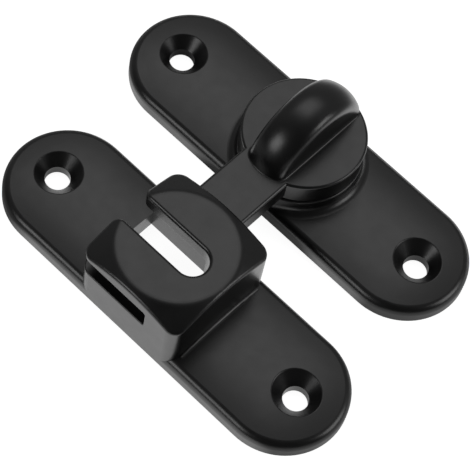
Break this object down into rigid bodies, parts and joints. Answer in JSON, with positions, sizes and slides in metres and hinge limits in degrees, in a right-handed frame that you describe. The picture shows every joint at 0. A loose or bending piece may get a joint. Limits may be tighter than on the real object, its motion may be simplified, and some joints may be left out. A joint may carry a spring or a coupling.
{
  "type": "door latch",
  "caption": "Black surface-mounted flip latch: a thumb-turn with a flat arm on a round-ended plate, and a slotted keeper on a matching plate.",
  "frame": {"origin": "pivot axis of the thumb-turn on the mounting plane, midway between the latch plate's screw holes", "axes": "+X along the plates, +Y from the keeper to the latch plate, +Z out of the mounting plane along the pivot"},
  "size_m": [0.093, 0.0684, 0.0255],
  "materials": {
    "castings": "satin powder coat",
    "steel": "plain zinc plate",
    "nylon": "smooth nylon"
  },
  "bodies": {
    "plates": {"latch_plate": "castings", "keeper": "castings", "friction_washer": "nylon", "spring_washer": "steel"},
    "turn": {"thumb_turn": "castings", "retaining_washer": "steel", "pivot_screw": "steel"}
  },
  "joints": [
    {"name": "arm_swing", "type": "hinge", "parent": "plates", "child": "turn", "pos_m": [0, 0, 0], "axis": [0, 0, -1], "range_deg": [0, 180]}
  ]
}
